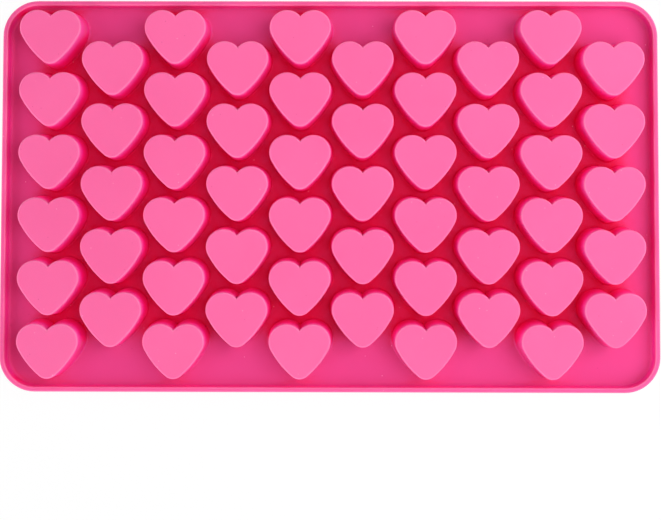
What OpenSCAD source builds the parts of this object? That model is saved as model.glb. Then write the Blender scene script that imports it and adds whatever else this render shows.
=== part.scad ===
// Silicone heart mould: one flexible moulding with fifty-five heart cavities.
// It lies as it is stored, open faces down, so the closed hearts stand up from
// the web. Millimetres, +Z up, origin at the centre of the underside.

/* [Tray] */
// Length of the tray, along X
tray_w = 185; // [181:1:215]
// Width of the tray, along Y
tray_d = 110; // [109:1:135]
// Radius of the tray's corners, seen from above
corner_r = 10; // [6:0.5:13.5]
// Thickness of the flat web between the hearts
web_t = 1.5; // [1:0.1:3]

/* [Rim] */
// Height of the rim above the web
rim_h = 3.4; // [1.5:0.1:6]
// Thickness of the rim
rim_t = 1.4; // [1.2:0.1:2]
// Rounding of the rim's two upper edges
rim_edge_r = 0.5; // [0.2:0.05:0.55]
// Fillet between the rim and the web
rim_foot_r = 0.8; // [0.3:0.1:1.2]

/* [Hearts] */
// Width of a heart's flat top, across its lobes
heart_w = 17.1; // [15.8:0.1:17.4]
// Length of a heart's flat top, from its lobes to its tip
heart_d = 15.1; // [14.4:0.1:15.8]
// Radius of the two lobes at the flat top
lobe_r = 4.85; // [4.75:0.05:5.3]
// Radius of the tip at the flat top
tip_r = 3.25; // [2.6:0.05:3.8]
// Radius of the long, slightly bowed flanks at the flat top
flank_r = 24; // [18:1:60]
// Height of the hearts above the web
heart_h = 8.5; // [6:0.1:12]
// Draft of the heart walls, in degrees
draft = 3; // [1:0.25:4.5]

/* [Cavities] */
// Thickness of the wall round a cavity
wall_t = 0.9; // [0.7:0.05:1.1]
// Thickness over a cavity, at the flat top
floor_t = 1.2; // [0.8:0.1:2]

/* [Pattern] */
// Number of columns, side by side along X
columns = 10; // [2:1:10]
// Hearts in the first column and in every other one after it
hearts_long = 6; // [2:1:6]
// Distance between neighbouring columns
pitch_x = 17.4; // [17.1:0.05:17.8]
// Distance between hearts in one column
pitch_y = 17.4; // [17:0.05:17.65]
// How far the whole pattern sits right of the tray's centre
shift_x = 0.5; // [-1:0.1:1]
// How far the whole pattern sits above the tray's centre
shift_y = 0.5; // [-0.8:0.1:0.8]

/* [Hidden] */
$fn = 48;
heart_top = web_t + heart_h;
cavity_top = heart_top - floor_t;
rim_top = web_t + rim_h;
// A heart starts inside the web, and a cavity's cutter below it, so that no faces meet
sunk = web_t / 2;
// Centres of a heart's arcs: the right lobe, the tip, and the right flank's, far to the left
lobe_c = [heart_w / 2 - lobe_r, heart_d / 2 - lobe_r];
tip_c = [0, tip_r - heart_d / 2];
flank_c = meeting(lobe_c, flank_r - lobe_r, tip_c, flank_r - tip_r);
// How far a flank's arc sits inside the lobe's and the tip's, so that the drafted faces
// cross at a clear angle. Faces that just touch leave slivers between them.
seat = 0.02;
// Bearings in which the flank's arc runs into the lobe's and the tip's
lobe_ray = bearing(flank_c, lobe_c);
tip_ray = bearing(flank_c, tip_c);
// Two points on those bearings, clear outside the flank at any height
outside = (flank_r + flare(heart_top + sunk)) / cos((lobe_ray - tip_ray) / 2) + 1;
lobe_out = flank_c + outside * [cos(lobe_ray), sin(lobe_ray)];
tip_out = flank_c + outside * [cos(tip_ray), sin(tip_ray)];

// Bearing of point b seen from point a, in degrees
function bearing(a, b) = atan2(b.y - a.y, b.x - a.x);

// The left one of the two points at distance ra from a and rb from b
function meeting(a, ra, b, rb) =
    let (
        gap = norm(b - a),
        along = (b - a) / gap,
        side = [along.y, -along.x],
        t = (ra * ra - rb * rb + gap * gap) / (2 * gap)
    )
    a + along * t + side * sqrt(ra * ra - t * t);

// The same point on the other side of the heart
function mirrored(p) = [-p.x, p.y];

// How far a drafted wall has leaned out, a height below the flat top
function flare(below) = below * tan(draft);

// Hearts in one column: every other column holds one less
function in_column(i) = hearts_long - i % 2;

// A drafted disc between two heights, of radius r at the height of the flat top
module disc(centre, r, top, bottom) {
    translate([centre.x, centre.y, bottom])
        cylinder(
            h = top - bottom,
            r1 = r + flare(heart_top - bottom),
            r2 = r + flare(heart_top - top)
        );
}

// A drafted heart between two heights: two lobes, a tip and two bowed flanks whose arcs
// run smoothly into each other. inset brings the whole wall in by that distance.
module heart(inset, top, bottom) {
    disc(lobe_c, lobe_r - inset, top, bottom);
    disc(mirrored(lobe_c), lobe_r - inset, top, bottom);
    disc(tip_c, tip_r - inset, top, bottom);
    intersection() {
        disc(flank_c, flank_r - seat - inset, top, bottom);
        disc(mirrored(flank_c), flank_r - seat - inset, top, bottom);
        translate([0, 0, bottom])
            linear_extrude(top - bottom)
                polygon([
                    lobe_c,
                    lobe_out,
                    tip_out,
                    tip_c,
                    mirrored(tip_out),
                    mirrored(lobe_out),
                    mirrored(lobe_c)
                ]);
    }
}

// The closed heart that stands on the web
module boss() {
    heart(0, heart_top, sunk);
}

// The open cavity under it
module cavity() {
    heart(wall_t, cavity_top, -sunk);
}

// The children, once for each heart of the staggered pattern
module at_hearts() {
    for (i = [0 : columns - 1], j = [0 : in_column(i) - 1]) {
        x = shift_x + (i - (columns - 1) / 2) * pitch_x;
        y = shift_y + (j - (in_column(i) - 1) / 2) * pitch_y;
        translate([x, y, 0]) children();
    }
}

// What a rounding of radius r takes off an upper left corner at the origin
module corner_cut(r) {
    difference() {
        translate([0, -r]) square(r);
        translate([r, -r]) circle(r);
    }
}

// Section of the tray's edge, outwards from a corner's centre: the web and the upright rim
module edge_section() {
    inner = corner_r - rim_t;
    square([corner_r, web_t]);
    difference() {
        translate([inner, 0]) square([rim_t, rim_top]);
        translate([inner, rim_top]) corner_cut(rim_edge_r);
        translate([corner_r, rim_top]) mirror([1, 0]) corner_cut(rim_edge_r);
    }
    translate([inner, web_t]) mirror([1, 0]) mirror([0, 1]) corner_cut(rim_foot_r);
}

// One straight side of the tray, which runs on from a corner's centre
module edge_run(run) {
    translate([0, run, 0])
        rotate([90, 0, 0])
            linear_extrude(run)
                edge_section();
}

// The flat web with its upright rim all round
module tray() {
    run_x = tray_w - 2 * corner_r;
    run_y = tray_d - 2 * corner_r;
    translate([-run_x / 2, -run_y / 2, 0]) cube([run_x, run_y, web_t]);
    for (turn = [0, 180]) rotate([0, 0, turn]) {
        translate([run_x / 2, -run_y / 2, 0]) edge_run(run_y);
        translate([run_x / 2, run_y / 2, 0]) rotate([0, 0, 90]) edge_run(run_x);
        translate([run_x / 2, run_y / 2, 0])
            rotate_extrude(angle = 90)
                edge_section();
        translate([-run_x / 2, run_y / 2, 0])
            rotate([0, 0, 90])
                rotate_extrude(angle = 90)
                    edge_section();
    }
}

module mould() {
    color("hotpink")
        difference() {
            union() {
                tray();
                at_hearts() boss();
            }
            at_hearts() cavity();
        }
}

mould();
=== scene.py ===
"""Looks of a silicone mould for small heart sweets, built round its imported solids.

The mould lies open side down. Fifty-five closed hearts stand up from a thin web, inside a
low rim. Sizes are written in millimetres, and the finished mesh is scaled to metres.
"""

import logging
import math
from collections.abc import Iterator
from dataclasses import dataclass, field
from enum import Enum
from typing import Any

import bmesh
import bpy
from bmesh.types import BMEdge, BMesh, BMVert
from mathutils import Matrix, Vector


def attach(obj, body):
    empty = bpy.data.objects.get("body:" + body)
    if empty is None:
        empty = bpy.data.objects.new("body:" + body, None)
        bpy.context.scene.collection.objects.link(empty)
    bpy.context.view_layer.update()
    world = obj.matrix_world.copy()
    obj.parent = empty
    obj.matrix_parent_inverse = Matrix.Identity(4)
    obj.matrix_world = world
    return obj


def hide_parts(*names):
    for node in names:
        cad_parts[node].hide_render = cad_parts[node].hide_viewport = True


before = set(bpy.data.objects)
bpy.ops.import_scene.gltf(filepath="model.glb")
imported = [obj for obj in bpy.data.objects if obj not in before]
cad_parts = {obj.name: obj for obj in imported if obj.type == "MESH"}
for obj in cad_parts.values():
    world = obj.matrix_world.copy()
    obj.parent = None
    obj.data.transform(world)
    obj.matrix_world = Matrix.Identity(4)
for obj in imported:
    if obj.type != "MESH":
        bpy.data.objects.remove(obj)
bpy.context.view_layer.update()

log = logging.getLogger("mould")
MM = 0.001
UP = (0.0, 0.0, 1.0)
# Steps round each small rounding of a section
EDGE_STEPS = 4
# Flat face that a section runs on for past its last rounding, in millimetres
EDGE_REST = 0.05
# Points closer than this are one, in millimetres, and at the seam where the rim closes
WELD = 1e-4
SEAM_WELD = 2e-3
# Distance from a plane or a level at which a point still counts as on it, in millimetres
ON_PLANE = 1e-5
ON_LEVEL = 1e-3
# Sockets of a Mix node set to colours: the share and both colours, and the mixed colour
SHARE, FIRST, SECOND = 0, 6, 7
MIXED = 2


class Level(Enum):
    """Heights of the mould's flat faces above the table, in millimetres."""

    UNDERSIDE = 0.0
    WEB = 1.5
    RIM = 4.9
    CAVITY = 8.8
    TOP = 10.0


@dataclass(frozen=True)
class HeartPlan:
    """Plan of one heart at its flat top: two lobes, a tip and two bowed flanks.

    The right half is an arc about the tip, then one about the flank's far centre, then one
    about the lobe. Each runs smoothly into the next.
    """

    width: float = 17.1
    length: float = 15.1
    lobe_r: float = 4.85
    tip_r: float = 3.25
    flank_r: float = 24.0
    tip_steps: int = 6
    flank_steps: int = 5
    lobe_steps: int = 23
    # The lobe's arc runs on past the cleft to this bearing, in degrees, and is trimmed there
    lobe_end: float = 168.0

    @property
    def lobe(self) -> Vector:
        """Centre of the right lobe."""
        return Vector((self.width / 2 - self.lobe_r, self.length / 2 - self.lobe_r, 0))

    @property
    def tip(self) -> Vector:
        """Centre of the tip's arc."""
        return Vector((0, self.tip_r - self.length / 2, 0))

    @property
    def flank(self) -> Vector:
        """Centre of the right flank's arc, far out on the left."""
        to_lobe = self.flank_r - self.lobe_r
        to_tip = self.flank_r - self.tip_r
        span = self.tip - self.lobe
        along = span.normalized()
        side = Vector((along.y, -along.x, 0))
        foot = (to_lobe**2 - to_tip**2 + span.length**2) / (2 * span.length)
        return self.lobe + along * foot + side * math.sqrt(to_lobe**2 - foot**2)

    def turns(self) -> Iterator[tuple[Vector, float, int]]:
        """The arcs of the right half, from the tip's end up over the lobe.

        Returns:
            For each arc its centre, its angle and its number of steps.
        """
        to_tip, to_lobe = self.tip - self.flank, self.lobe - self.flank
        tip_ray = math.atan2(to_tip.y, to_tip.x)
        lobe_ray = math.atan2(to_lobe.y, to_lobe.x)
        yield self.tip, tip_ray + math.pi / 2, self.tip_steps
        yield self.flank, lobe_ray - tip_ray, self.flank_steps
        yield self.lobe, math.radians(self.lobe_end) - lobe_ray, self.lobe_steps


@dataclass(frozen=True)
class Pattern:
    """Staggered columns of hearts."""

    columns: int = 10
    longest: int = 6
    pitch: Vector = field(default_factory=lambda: Vector((17.4, 17.4, 0)))
    shift: Vector = field(default_factory=lambda: Vector((0.5, 0.5, 0)))

    def places(self) -> Iterator[Vector]:
        """Centres of the hearts, column by column."""
        for column in range(self.columns):
            hearts = self.longest - column % 2
            for row in range(hearts):
                step = Vector((column - (self.columns - 1) / 2, row - (hearts - 1) / 2, 0))
                yield self.shift + step * self.pitch


class Section:
    """A cross-section drawn as a chain of edges, which is then carried round a path."""

    def __init__(self, bm: BMesh, corners: list[tuple[Vector, float]]) -> None:
        """Draws the chain and rounds its corners.

        Args:
            bm: Mesh that the chain goes into.
            corners: Each corner's place and the radius of its rounding, 0 at the ends.
        """
        self.bm = bm
        pen = bm.verts.new(corners[0][0])
        verts, edges, rounded = [pen], [], []
        for place, radius in corners[1:]:
            made = bmesh.ops.extrude_vert_indiv(bm, verts=[pen])
            pen = made["verts"][0]
            pen.co = place
            verts.append(pen)
            edges += made["edges"]
            if radius:
                rounded.append((pen, radius))
        # A rounding takes its corner away, so the section is gathered from what is left
        kept = set(verts) - {pen for pen, _ in rounded}
        for corner, radius in rounded:
            ends = [edge.other_vert(corner).co - corner.co for edge in corner.link_edges]
            half = ends[0].angle(ends[1]) / 2
            made = bmesh.ops.bevel(
                bm,
                geom=[corner],
                offset=radius / math.tan(half),
                offset_type="OFFSET",
                segments=EDGE_STEPS,
                profile=0.5,
                affect="VERTICES",
                material=-1,
            )
            kept |= set(made["verts"])
        self.geom: list[Any] = [v for v in kept if v.is_valid]
        self.geom += list({edge for v in self.geom for edge in v.link_edges})

    def turn(self, centre: Vector, angle: float, steps: int) -> None:
        """Carries the section round a vertical axis.

        Args:
            centre: A point on the axis.
            angle: Angle to turn through, anticlockwise from above.
            steps: Number of steps.
        """
        made = bmesh.ops.spin(
            self.bm, geom=self.geom, cent=centre, axis=UP, angle=angle, steps=steps
        )
        self.geom = made["geom_last"]

    def slide(self, move: Vector, steps: int) -> None:
        """Carries the section along a straight line.

        Args:
            move: The whole way.
            steps: Number of equal steps.
        """
        for _ in range(steps):
            edges = [part for part in self.geom if isinstance(part, BMEdge)]
            made = bmesh.ops.extrude_edge_only(self.bm, edges=edges)
            parts = [part for part in made["geom"] if isinstance(part, (BMVert, BMEdge))]
            self.geom = [part for part in parts if not is_side(part, edges)]
            verts = [part for part in self.geom if isinstance(part, BMVert)]
            bmesh.ops.translate(self.bm, verts=verts, vec=move / steps)


def is_side(part: BMVert | BMEdge, start: list[BMEdge]) -> bool:
    """Whether a new edge joins an extruded section to the one it came from.

    Args:
        part: Vertex or edge that an extrusion made.
        start: Edges that were extruded.

    Returns:
        True for such an edge, and False for a vertex or an edge of the new section.
    """
    if isinstance(part, BMVert):
        return False
    old = {vert for edge in start for vert in edge.verts}
    return any(vert in old for vert in part.verts)


@dataclass(frozen=True)
class Heart:
    """One closed heart with the cavity under it, open where it meets the web."""

    plan: HeartPlan = field(default_factory=HeartPlan)
    draft: float = 3.0
    wall: float = 0.9
    top_edge_r: float = 0.6
    foot_r: float = 0.6
    mouth_r: float = 0.3
    ceiling_r: float = 0.2

    def out(self, inset: float, height: float) -> float:
        """How far the drafted wall stands outside the plan.

        Args:
            inset: How far the whole wall is brought in.
            height: Height above the table.

        Returns:
            The distance in millimetres, negative where the wall stands inside the plan.
        """
        return (Level.TOP.value - height) * math.tan(math.radians(self.draft)) - inset

    def section(self, bm: BMesh, corners: list[tuple[float, float, float]]) -> Section:
        """A section of the wall in the plane of symmetry, below the tip.

        Args:
            bm: Mesh that it goes into.
            corners: For each corner its distance outside the plan, its height and its radius.

        Returns:
            The section, ready to be carried round the heart.
        """
        edge = self.plan.tip.y - self.plan.tip_r
        return Section(bm, [(Vector((0, edge - out, z)), r) for out, z, r in corners])

    def build(self) -> BMesh:
        """Makes the heart about the origin.

        Returns:
            Its mesh, with an open edge round the foot and another round the cavity's mouth.
        """
        web, top = Level.WEB.value, Level.TOP.value
        low, roof = Level.UNDERSIDE.value, Level.CAVITY.value
        foot = self.out(0, web)
        mouth = self.out(self.wall, low)
        ceiling = self.out(self.wall, roof)
        shell = bmesh.new()
        for corners in (
            [
                (foot + self.foot_r, web, 0),
                (foot, web, self.foot_r),
                (0, top, self.top_edge_r),
                (-self.top_edge_r - EDGE_REST, top, 0),
            ],
            [
                (mouth + self.mouth_r, low, 0),
                (mouth, low, self.mouth_r),
                (ceiling, roof, self.ceiling_r),
                (ceiling - self.ceiling_r - EDGE_REST, roof, 0),
            ],
        ):
            section = self.section(shell, corners)
            for centre, angle, steps in self.plan.turns():
                section.turn(centre, angle, steps)
        bmesh.ops.bisect_plane(
            shell,
            geom=[*shell.verts, *shell.edges, *shell.faces],
            dist=ON_PLANE,
            plane_co=(0, 0, 0),
            plane_no=(-1, 0, 0),
            clear_outer=True,
        )
        bmesh.ops.mirror(
            shell, geom=[*shell.verts, *shell.edges, *shell.faces], axis="X", merge_dist=WELD
        )
        bmesh.ops.remove_doubles(shell, verts=shell.verts, dist=WELD)
        for level in (Level.TOP, Level.CAVITY):
            bmesh.ops.edgeloop_fill(shell, edges=open_edges(shell, level))
        return shell


def open_edges(bm: BMesh, level: Level) -> list[BMEdge]:
    """The open edges of a mesh at one height.

    Args:
        bm: Mesh to look through.
        level: Height of the edges.

    Returns:
        The edges, in the mesh's own order.
    """
    return [
        edge
        for edge in bm.edges
        if edge.is_boundary and all(abs(v.co.z - level.value) < ON_LEVEL for v in edge.verts)
    ]


@dataclass(frozen=True)
class Mould:
    """The whole moulding: the rim, the web and the hearts on it."""

    length: float = 185.0
    width: float = 110.0
    corner_r: float = 10.0
    rim_t: float = 1.4
    rim_edge_r: float = 0.5
    rim_foot_r: float = 0.8
    base_edge_r: float = 0.3
    # Flat underside that is carried round with the rim
    base_run: float = 2.0
    run_steps: int = 12
    corner_steps: int = 14
    # How strongly the larger faces set the shading, of 100
    flat_weight: int = 90
    heart: Heart = field(default_factory=Heart)
    pattern: Pattern = field(default_factory=Pattern)

    def add_rim(self, bm: BMesh) -> None:
        """Carries the section of the edge once round the tray.

        Args:
            bm: Mesh that the rim goes into.
        """
        run = Vector((self.length / 2 - self.corner_r, self.width / 2 - self.corner_r, 0))
        inner = self.corner_r - self.rim_t
        web, rim, low = Level.WEB.value, Level.RIM.value, Level.UNDERSIDE.value
        start = Vector((run.x, -run.y, 0))
        corners = [
            (inner - self.rim_foot_r - EDGE_REST, web, 0),
            (inner, web, self.rim_foot_r),
            (inner, rim, self.rim_edge_r),
            (self.corner_r, rim, self.rim_edge_r),
            (self.corner_r, low, self.base_edge_r),
            (self.corner_r - self.base_run, low, 0),
        ]
        section = Section(bm, [(start + Vector((x, 0, z)), r) for x, z, r in corners])
        across = [Vector((0, 2 * run.y, 0)), Vector((-2 * run.x, 0, 0))]
        across += [-across[0], -across[1]]
        centre = start
        for move in across:
            section.slide(move, self.run_steps)
            centre = centre + move
            section.turn(centre, math.pi / 2, self.corner_steps)
        bmesh.ops.remove_doubles(bm, verts=bm.verts, dist=SEAM_WELD)

    def add_hearts(self, bm: BMesh) -> None:
        """Sets a copy of the heart at each place of the pattern.

        Args:
            bm: Mesh that the hearts go into.
        """
        shell = self.heart.build()
        one = bpy.data.meshes.new("heart")
        for place in self.pattern.places():
            moved = shell.copy()
            bmesh.ops.translate(moved, verts=moved.verts, vec=place)
            moved.to_mesh(one)
            moved.free()
            bm.from_mesh(one)
        shell.free()
        bpy.data.meshes.remove(one)

    def build(self, finish: bpy.types.Material) -> bpy.types.Object:
        """Makes the moulding as one closed mesh.

        Args:
            finish: Material of the moulding.

        Returns:
            The object, in metres.
        """
        bm = bmesh.new()
        self.add_rim(bm)
        self.add_hearts(bm)
        for level in (Level.WEB, Level.UNDERSIDE):
            bmesh.ops.triangle_fill(
                bm, use_beauty=True, edges=open_edges(bm, level), normal=UP
            )
        bmesh.ops.recalc_face_normals(bm, faces=bm.faces)
        for face in bm.faces:
            face.smooth = True
        bmesh.ops.scale(bm, verts=bm.verts, vec=(MM, MM, MM))
        loose = sum(1 for edge in bm.edges if len(edge.link_faces) != 2)
        log.info("edges without two faces: %d", loose)
        mesh = bpy.data.meshes.new("silicone_mould")
        bm.to_mesh(mesh)
        bm.free()
        mesh.materials.append(finish)
        piece = bpy.data.objects.new("silicone_mould", mesh)
        bpy.context.scene.collection.objects.link(piece)
        # The flat faces keep their own normals beside the small roundings
        flats = piece.modifiers.new("flats", "WEIGHTED_NORMAL")
        flats.mode = "FACE_AREA"
        flats.weight = self.flat_weight
        return piece


def linear(colour: str) -> tuple[float, float, float, float]:
    """Turns an sRGB hex colour into linear red, green, blue and alpha.

    Args:
        colour: Such as "#fb6aa6".

    Returns:
        The four numbers, from 0 to 1.
    """
    parts = [int(colour[i : i + 2], 16) / 255 for i in (1, 3, 5)]
    r, g, b = (c / 12.92 if c <= 0.04045 else ((c + 0.055) / 1.055) ** 2.4 for c in parts)
    return (r, g, b, 1.0)


def add_node(
    tree: bpy.types.NodeTree,
    kind: str,
    inputs: dict[str | int, Any] | None = None,
    **settings: Any,
) -> bpy.types.Node:
    """Adds a node with its settings and links.

    Args:
        tree: Node tree that it goes into.
        kind: The node's type, such as "ShaderNodeBump".
        inputs: A value for each input socket named, or an output socket to link to it.
        settings: The node's own properties.

    Returns:
        The node.
    """
    node = tree.nodes.new(kind)
    for name, value in settings.items():
        setattr(node, name, value)
    for name, value in (inputs or {}).items():
        if isinstance(value, bpy.types.NodeSocket):
            tree.links.new(value, node.inputs[name])
        else:
            node.inputs[name].default_value = value
    return node


def per_metre(size: float) -> float:
    """Texture scale at which a pattern repeats every size millimetres."""
    return 1 / (size * MM)


@dataclass(frozen=True)
class PlatinumSilicone:
    """Platinum-cured silicone rubber, pigmented pink and moulded in a fine-blasted tool.

    To the eye it is satin and a little translucent. Light that reaches it over other walls
    of the same pink loses its green and blue. That is painted into the colour here: a painted
    shade that deepens to crimson between the hearts, and a painted light in the open, both
    lighter higher up the walls. Each list of colours goes by the height above the table.
    Lengths are in millimetres.
    """

    # Painted light for open places and painted shade for crowded ones, each by height in
    # millimetres
    painted_light_colours: tuple[tuple[float, str], ...] = (
        (1.5, "#df478a"),
        (3.0, "#e73aaf"),
        (4.9, "#ec5e99"),
        (7.5, "#ff5bbc"),
        (9.4, "#ff6ac0"),
        (9.95, "#f16aa0"),
    )
    painted_shade_colours: tuple[tuple[float, str], ...] = (
        (1.6, "#de0041"),
        (2.4, "#f10065"),
        (4.5, "#ff0079"),
        (6.5, "#ff0a95"),
        (8.3, "#ff43bc"),
        (9.95, "#ff63ba"),
    )
    # For the painted shade between the hearts: how far round a place its neighbours count, and
    # the shares of free room there at which it is still crowded and already open
    painted_shade_reach: float = 9.0
    painted_shade_range: tuple[float, float] = (0.35, 0.48)
    painted_shade_samples: int = 16
    # Painted light in the margin: how far from the middle the margin starts, along and across,
    # and how soft that is
    painted_glow_zone: tuple[float, float] = (88.0, 52.0)
    painted_glow_blend: float = 1.5
    # Painted highlight along the upper edges: its colour and share, the heights between which
    # it sets in, and for the wall's side and the flat side, how far up the surface faces where
    # it starts and is full
    edge: str = "#ff8fbb"
    painted_highlight_share: float = 0.5
    painted_highlight_start: tuple[float, float] = (4.2, 4.3)
    painted_highlight_slopes: tuple[tuple[float, float], ...] = ((0.15, 0.45), (0.99, 0.90))
    # The pigment's slow drift
    mottle: str = "#f4e2ec"
    mottle_share: float = 0.3
    flow_size: float = 28.0
    flow_detail: float = 3.0
    flow_range: tuple[float, float] = (0.35, 0.65)
    # Satin surface, with the fine grain of the blasted tool
    roughness: float = 0.42
    roughness_swing: float = 0.05
    ior: float = 1.41
    gloss: float = 0.35
    gloss_tint: str = "#ff6a9e"
    grain_size: float = 0.35
    grain_detail: float = 2.0
    grain_depth: float = 0.02
    grain_strength: float = 0.5
    # The bloom that silicone shows at a low angle
    velvet: float = 1.0
    velvet_roughness: float = 0.5
    velvet_tint: str = "#ff2a80"
    # How much light goes under the surface, and how far its red, green and blue get
    scatter: float = 0.12
    scatter_depth: float = 2.5
    scatter_reach: tuple[float, float, float] = (1.0, 0.2, 0.35)
    # Specks of dust, light ones above the split and dark ones below it
    dust_spacing: float = 2.6
    dust_size: float = 0.16
    dust_share: float = 0.6
    dust_split: float = 0.55
    dust_light: str = "#ffc0dc"
    dust_dark: str = "#b8286a"

    def add_heights(
        self,
        tree: bpy.types.NodeTree,
        height: bpy.types.NodeSocket,
        colours: tuple[tuple[float, str], ...],
    ) -> bpy.types.NodeSocket:
        """Adds a colour that changes with height.

        Args:
            tree: Node tree that it goes into.
            height: Height as a share of the mould's own.
            colours: Each height in millimetres with its colour.

        Returns:
            The socket with the colour.
        """
        node = add_node(tree, "ShaderNodeValToRGB", {"Fac": height})
        stops = node.color_ramp.elements
        while len(stops) < len(colours):
            stops.new(0.5)
        for stop, (level, colour) in zip(stops, colours):
            stop.position = level / Level.TOP.value
            stop.color = linear(colour)
        return node.outputs["Color"]

    def add_painted_edge_highlight(
        self,
        tree: bpy.types.NodeTree,
        height: bpy.types.NodeSocket,
        colour: bpy.types.NodeSocket,
    ) -> bpy.types.NodeSocket:
        """Paints a highlight on the rounded upper edges, standing in for light that passes
        through a thin corner.

        Args:
            tree: Node tree that it goes into.
            height: Height as a share of the mould's own.
            colour: The colour so far.

        Returns:
            The socket with the new colour.
        """
        normal = add_node(tree, "ShaderNodeTexCoord").outputs["Normal"]
        slope = add_node(tree, "ShaderNodeSeparateXYZ", {"Vector": normal}).outputs["Z"]
        start, full = (level / Level.TOP.value for level in self.painted_highlight_start)
        share = add_node(
            tree,
            "ShaderNodeMapRange",
            {"Value": height, "From Min": start, "From Max": full, "To Max": self.painted_highlight_share},
        ).outputs["Result"]
        for none, full in self.painted_highlight_slopes:
            step = add_node(
                tree, "ShaderNodeMapRange", {"Value": slope, "From Min": none, "From Max": full}
            )
            share = add_node(
                tree,
                "ShaderNodeMath",
                {0: share, 1: step.outputs["Result"]},
                operation="MULTIPLY",
            ).outputs[0]
        return add_node(
            tree,
            "ShaderNodeMix",
            {SHARE: share, FIRST: colour, SECOND: linear(self.edge)},
            data_type="RGBA",
        ).outputs[MIXED]

    def add_painted_rim_glow(
        self,
        tree: bpy.types.NodeTree,
        apart: bpy.types.Node,
        share: bpy.types.NodeSocket,
    ) -> bpy.types.NodeSocket:
        """Paints the tray's margin with the open colours, as painted light for the glow that
        the thin rim lets in from outside.

        Args:
            tree: Node tree that it goes into.
            apart: Node that gives the object coordinates one by one.
            share: How open each place is so far, from 0 to 1.

        Returns:
            The socket with the new share.
        """
        for axis, start in zip("XY", self.painted_glow_zone):
            far = add_node(
                tree, "ShaderNodeMath", {0: apart.outputs[axis]}, operation="ABSOLUTE"
            )
            zone = add_node(
                tree,
                "ShaderNodeMapRange",
                {
                    "Value": far.outputs[0],
                    "From Min": start * MM,
                    "From Max": (start + self.painted_glow_blend) * MM,
                },
            )
            share = add_node(
                tree,
                "ShaderNodeMath",
                {0: share, 1: zone.outputs["Result"]},
                operation="MAXIMUM",
            ).outputs[0]
        return share

    def add_mottle(
        self,
        tree: bpy.types.NodeTree,
        flow: bpy.types.NodeSocket,
        colour: bpy.types.NodeSocket,
    ) -> bpy.types.NodeSocket:
        """Lets the pigment vary a little over broad patches.

        Args:
            tree: Node tree that it goes into.
            flow: Broad soft noise.
            colour: The colour so far.

        Returns:
            The socket with the new colour.
        """
        low, high = self.flow_range
        share = add_node(
            tree,
            "ShaderNodeMapRange",
            {"Value": flow, "From Min": low, "From Max": high, "To Max": self.mottle_share},
        )
        return add_node(
            tree,
            "ShaderNodeMix",
            {SHARE: share.outputs["Result"], FIRST: colour, SECOND: linear(self.mottle)},
            data_type="RGBA",
            blend_type="MULTIPLY",
        ).outputs[MIXED]

    def add_dust(
        self,
        tree: bpy.types.NodeTree,
        place: bpy.types.NodeSocket,
        colour: bpy.types.NodeSocket,
    ) -> bpy.types.NodeSocket:
        """Scatters a few specks of light and dark dust.

        Args:
            tree: Node tree that it goes into.
            place: Object coordinates.
            colour: The colour so far.

        Returns:
            The socket with the new colour.
        """
        cells = add_node(
            tree,
            "ShaderNodeTexVoronoi",
            {"Vector": place, "Scale": per_metre(self.dust_spacing)},
        )
        kind = add_node(tree, "ShaderNodeSeparateColor", {"Color": cells.outputs["Color"]})
        light = add_node(
            tree,
            "ShaderNodeMath",
            {0: kind.outputs["Red"], 1: self.dust_split},
            operation="GREATER_THAN",
        )
        dust = add_node(
            tree,
            "ShaderNodeMix",
            {
                SHARE: light.outputs[0],
                FIRST: linear(self.dust_dark),
                SECOND: linear(self.dust_light),
            },
            data_type="RGBA",
        )
        speck = add_node(
            tree,
            "ShaderNodeMapRange",
            {
                "Value": cells.outputs["Distance"],
                "From Min": self.dust_size / self.dust_spacing,
                "From Max": 0.5 * self.dust_size / self.dust_spacing,
                "To Max": self.dust_share,
            },
        )
        return add_node(
            tree,
            "ShaderNodeMix",
            {SHARE: speck.outputs["Result"], FIRST: colour, SECOND: dust.outputs[MIXED]},
            data_type="RGBA",
        ).outputs[MIXED]

    def add_light_and_shade_mask(
        self, tree: bpy.types.NodeTree, apart: bpy.types.Node
    ) -> bpy.types.NodeSocket:
        """Tells how open each place is, from 0 deep between the hearts to 1 in the open. This
        is the mask that mixes the painted shade with the painted light.

        Args:
            tree: Node tree that it goes into.
            apart: Node that gives the object coordinates one by one.

        Returns:
            The socket with that share.
        """
        room = add_node(
            tree,
            "ShaderNodeAmbientOcclusion",
            {"Distance": self.painted_shade_reach * MM},
            samples=self.painted_shade_samples,
            only_local=True,
        )
        crowded, free = self.painted_shade_range
        share = add_node(
            tree,
            "ShaderNodeMapRange",
            {"Value": room.outputs["AO"], "From Min": crowded, "From Max": free},
            interpolation_type="SMOOTHSTEP",
        )
        return self.add_painted_rim_glow(tree, apart, share.outputs["Result"])

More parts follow.
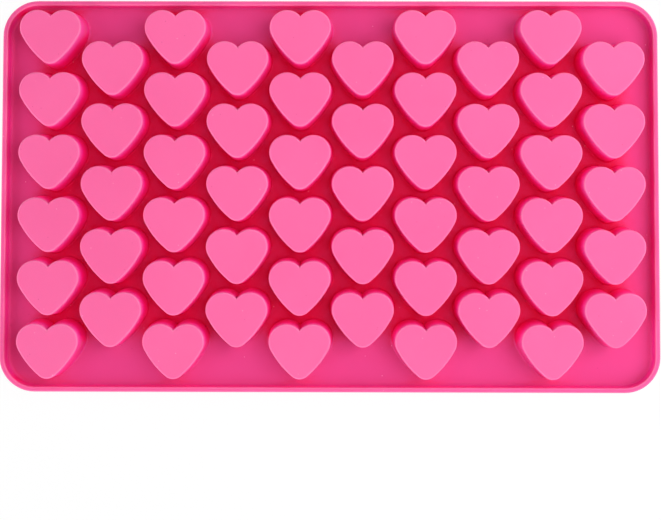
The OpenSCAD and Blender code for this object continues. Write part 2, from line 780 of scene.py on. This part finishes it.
    def add_rubber(
        self,
        tree: bpy.types.NodeTree,
        place: bpy.types.NodeSocket,
        flow: bpy.types.NodeSocket,
        colour: bpy.types.NodeSocket,
    ) -> bpy.types.Node:
        """Adds the satin, slightly translucent rubber with its fine grain.

        Args:
            tree: Node tree that it goes into.
            place: Object coordinates.
            flow: Broad soft noise, which also varies the gloss.
            colour: The finished colour.

        Returns:
            The shader node.
        """
        grain = add_node(
            tree,
            "ShaderNodeTexNoise",
            {
                "Vector": place,
                "Scale": per_metre(self.grain_size),
                "Detail": self.grain_detail,
            },
        )
        bump = add_node(
            tree,
            "ShaderNodeBump",
            {
                "Height": grain.outputs["Fac"],
                "Distance": self.grain_depth * MM,
                "Strength": self.grain_strength,
            },
        )
        rough = add_node(
            tree,
            "ShaderNodeMapRange",
            {
                "Value": flow,
                "To Min": self.roughness - self.roughness_swing,
                "To Max": self.roughness + self.roughness_swing,
            },
        )
        return add_node(
            tree,
            "ShaderNodeBsdfPrincipled",
            {
                "Base Color": colour,
                "Roughness": rough.outputs["Result"],
                "IOR": self.ior,
                "Specular IOR Level": self.gloss,
                "Specular Tint": linear(self.gloss_tint),
                "Sheen Weight": self.velvet,
                "Sheen Roughness": self.velvet_roughness,
                "Sheen Tint": linear(self.velvet_tint),
                "Subsurface Weight": self.scatter,
                "Subsurface Radius": self.scatter_reach,
                "Subsurface Scale": self.scatter_depth * MM,
                "Normal": bump.outputs["Normal"],
            },
        )

    def build(self) -> bpy.types.Material:
        """Makes the material."""
        material = bpy.data.materials.new("moulded_platinum_silicone")
        material.use_nodes = True
        tree = material.node_tree
        tree.nodes.clear()
        place = add_node(tree, "ShaderNodeTexCoord").outputs["Object"]
        flow = add_node(
            tree,
            "ShaderNodeTexNoise",
            {
                "Vector": place,
                "Scale": per_metre(self.flow_size),
                "Detail": self.flow_detail,
            },
        ).outputs["Fac"]
        apart = add_node(tree, "ShaderNodeSeparateXYZ", {"Vector": place})
        height = add_node(
            tree,
            "ShaderNodeMath",
            {0: apart.outputs["Z"], 1: 1 / (Level.TOP.value * MM)},
            operation="MULTIPLY",
        ).outputs[0]
        # Painted shade deep between the hearts, mixed with painted light in the open by how
        # open each place is
        body = add_node(
            tree,
            "ShaderNodeMix",
            {
                SHARE: self.add_light_and_shade_mask(tree, apart),
                FIRST: self.add_heights(tree, height, self.painted_shade_colours),
                SECOND: self.add_heights(tree, height, self.painted_light_colours),
            },
            data_type="RGBA",
        )
        # Painted highlight on the rounded upper edges
        colour = self.add_painted_edge_highlight(tree, height, body.outputs[MIXED])
        colour = self.add_mottle(tree, flow, colour)
        colour = self.add_dust(tree, place, colour)
        rubber = self.add_rubber(tree, place, flow, colour)
        add_node(tree, "ShaderNodeOutputMaterial", {"Surface": rubber.outputs["BSDF"]})
        return material


@dataclass(frozen=True)
class Lamp:
    """A soft square lamp that faces the mould. Power is in watts, lengths in metres."""

    name: str
    power: float
    size: float
    place: tuple[float, float, float]

    def build(self) -> None:
        """Hangs the lamp in its place."""
        lamp = bpy.data.lights.new(self.name, "AREA")
        lamp.shape = "SQUARE"
        lamp.size = self.size
        lamp.energy = self.power
        box = bpy.data.objects.new(self.name, lamp)
        box.location = self.place
        box.rotation_euler = (-Vector(self.place)).to_track_quat("-Z", "Y").to_euler()
        bpy.context.scene.collection.objects.link(box)


@dataclass(frozen=True)
class Studio:
    """The white table, the soft light and the camera."""

    # The table top, half as long in metres, and how far under the mould in millimetres
    floor_half: float = 1.5
    floor_gap: float = 0.05
    floor_tone: str = "#f2f2f2"
    # How white the floor is to the eye. The rest is its own shading, with the shadow.
    floor_white: float = 0.93
    sky: float = 0.05
    lamps: tuple[Lamp, ...] = (
        Lamp("high_box", 3.15, 0.80, (0.34, 0.00, 0.52)),
        Lamp("right_box", 1.90, 0.66, (0.41, 0.00, 0.28)),
        Lamp("far_box", 0.80, 0.58, (0.00, 0.64, 0.45)),
        Lamp("left_box", 5.10, 0.90, (-0.98, 0.00, 0.69)),
        Lamp("low_box", 9.20, 0.90, (-0.82, -0.82, 0.45)),
    )
    # The camera's place, its three small turns in degrees, its lens in millimetres and how
    # far the picture is shifted, as a share of its width
    eye: Vector = field(default_factory=lambda: Vector((1.727, -0.889, 298.0)) * MM)
    tilt: float = 2.048
    sway: float = 0.289
    roll: float = 0.085
    lens: float = 56.78
    drop: float = -0.1492
    near: float = 0.01

    def seen_directly(self, tree: bpy.types.NodeTree) -> bpy.types.NodeSocket:
        """1 for the rays that show the background, so that it can be white to them alone.

        Args:
            tree: Node tree that it goes into.

        Returns:
            The socket with that number.
        """
        ray = add_node(tree, "ShaderNodeLightPath")
        shown = ray.outputs["Is Camera Ray"]
        for other in ("Is Glossy Ray", "Is Transmission Ray"):
            both = add_node(
                tree, "ShaderNodeMath", {0: shown, 1: ray.outputs[other]}, operation="MAXIMUM"
            )
            shown = both.outputs[0]
        return shown

    def add_floor(self) -> None:
        """The white table top, just under the mould."""
        bm = bmesh.new()
        bmesh.ops.create_grid(bm, x_segments=1, y_segments=1, size=self.floor_half)
        bmesh.ops.translate(bm, verts=bm.verts, vec=(0, 0, -self.floor_gap * MM))
        mesh = bpy.data.meshes.new("table_top")
        bm.to_mesh(mesh)
        bm.free()
        # Matt white paper: it shows the soft shadow and no gloss
        material = bpy.data.materials.new("white_table_paper")
        material.use_nodes = True
        tree = material.node_tree
        tree.nodes.clear()
        paper = add_node(tree, "ShaderNodeBsdfDiffuse", {"Color": linear(self.floor_tone)})
        white = add_node(tree, "ShaderNodeEmission", {"Strength": 1.0})
        shown = self.seen_directly(tree)
        share = add_node(
            tree, "ShaderNodeMath", {0: shown, 1: self.floor_white}, operation="MULTIPLY"
        )
        mix = add_node(
            tree,
            "ShaderNodeMixShader",
            {0: share.outputs[0], 1: paper.outputs[0], 2: white.outputs[0]},
        )
        add_node(tree, "ShaderNodeOutputMaterial", {"Surface": mix.outputs[0]})
        mesh.materials.append(material)
        floor = bpy.data.objects.new("table_top", mesh)
        bpy.context.scene.collection.objects.link(floor)

    def add_sky(self) -> None:
        """Pale light from all round, white where it is seen."""
        world = bpy.data.worlds.new("studio")
        bpy.context.scene.world = world
        world.use_nodes = True
        tree = world.node_tree
        tree.nodes.clear()
        shown = self.seen_directly(tree)
        level = add_node(
            tree, "ShaderNodeMapRange", {"Value": shown, "To Min": self.sky, "To Max": 1.0}
        )
        back = add_node(
            tree,
            "ShaderNodeBackground",
            {"Color": (1.0, 1.0, 1.0, 1.0), "Strength": level.outputs["Result"]},
        )
        add_node(tree, "ShaderNodeOutputWorld", {"Surface": back.outputs[0]})

    def add_camera(self) -> None:
        """The camera, over the mould's middle and leaning back very slightly."""
        optics = bpy.data.cameras.new("camera")
        optics.lens = self.lens
        optics.shift_y = self.drop
        optics.clip_start = self.near
        camera = bpy.data.objects.new("camera", optics)
        turn = Matrix.Rotation(math.radians(self.roll), 4, "Z")
        lean = Matrix.Rotation(math.radians(self.tilt), 4, "X")
        side = Matrix.Rotation(math.radians(self.sway), 4, "Y")
        camera.matrix_world = Matrix.Translation(self.eye) @ turn @ lean @ side
        bpy.context.scene.collection.objects.link(camera)
        bpy.context.scene.camera = camera

    def build(self) -> None:
        """Sets everything up."""
        self.add_floor()
        self.add_sky()
        for lamp in self.lamps:
            lamp.build()
        self.add_camera()
        bpy.context.scene.view_settings.view_transform = "Standard"


def main() -> None:
    """Builds the mould and the studio round it."""
    logging.basicConfig(level=logging.INFO, format="%(name)s: %(message)s")
    piece = Mould().build(PlatinumSilicone().build())
    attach(piece, "root")
    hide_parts("mould")
    log.info("%s: %d faces", piece.name, len(piece.data.polygons))
    Studio().build()
    log.info("studio: floor, sky, lamps and camera")


if __name__ == "__main__":
    main()
